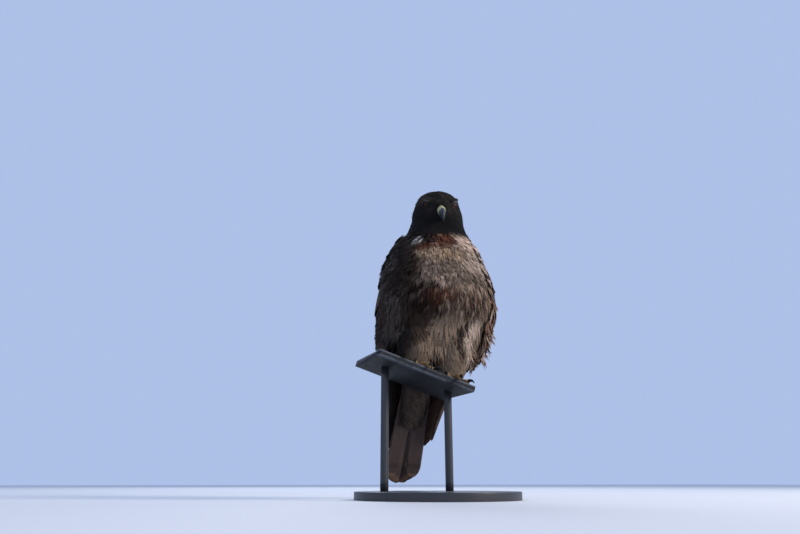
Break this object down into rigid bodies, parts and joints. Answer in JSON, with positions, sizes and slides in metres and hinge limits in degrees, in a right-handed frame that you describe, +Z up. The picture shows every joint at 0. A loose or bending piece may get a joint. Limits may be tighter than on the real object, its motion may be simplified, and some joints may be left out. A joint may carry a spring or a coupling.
{
  "type": "red-tailed hawk perched on a cut length of flat steel bar",
  "caption": "Life-size still model of a red-tailed hawk, wings folded and tail hanging, gripping a short sloping flat steel bar held by two rods over a round display base.",
  "frame": {"origin": "middle of the underside of the round display base, on the surface it stands on", "axes": "+Z up; the hawk's body faces -Y and its left side is towards +X; its head is turned a little to its right"},
  "size_m": [0.25, 0.2511, 0.488],
  "materials": {
    "head_feathers": "near-black brown feathers with paler brown tips on the nape",
    "body_feathers": "buff feathers with dark streaks, a rufous breast and a rufous and brown belly band",
    "wing_feathers": "dark brown feathers with paler edges and faint bars",
    "tail_feathers": "brick red feathers above, paler below, with a dark band and a pale tip",
    "leg_feathers": "pale buff feathers with fine rufous bars",
    "cere_skin": "satin greenish yellow skin",
    "horn": "glossy blue-black horn, paler at its root",
    "eye": "wet dark brown iris and black pupil",
    "foot_skin": "scaly yellow skin",
    "steel": "dull weathered galvanised steel",
    "stand": "satin dark grey paint"
  },
  "bodies": {
    "root": {"head": "head_feathers", "neck": "head_feathers", "torso": "body_feathers", "wing_left": "wing_feathers", "wing_right": "wing_feathers", "tail": "tail_feathers", "thigh_left": "leg_feathers", "thigh_right": "leg_feathers", "cere": "cere_skin", "bill_upper": "horn", "bill_lower": "horn", "eye_left": "eye", "eye_right": "eye", "shank_left": "foot_skin", "shank_right": "foot_skin", "foot_left": "foot_skin", "foot_right": "foot_skin", "claw_left_inner": "horn", "claw_left_middle": "horn", "claw_left_outer": "horn", "claw_left_rear": "horn", "claw_right_inner": "horn", "claw_right_middle": "horn", "claw_right_outer": "horn", "claw_right_rear": "horn", "perch_bar": "steel", "stand_base": "stand", "stand_rod_left": "stand", "stand_rod_right": "stand"}
  },
  "joints": []
}
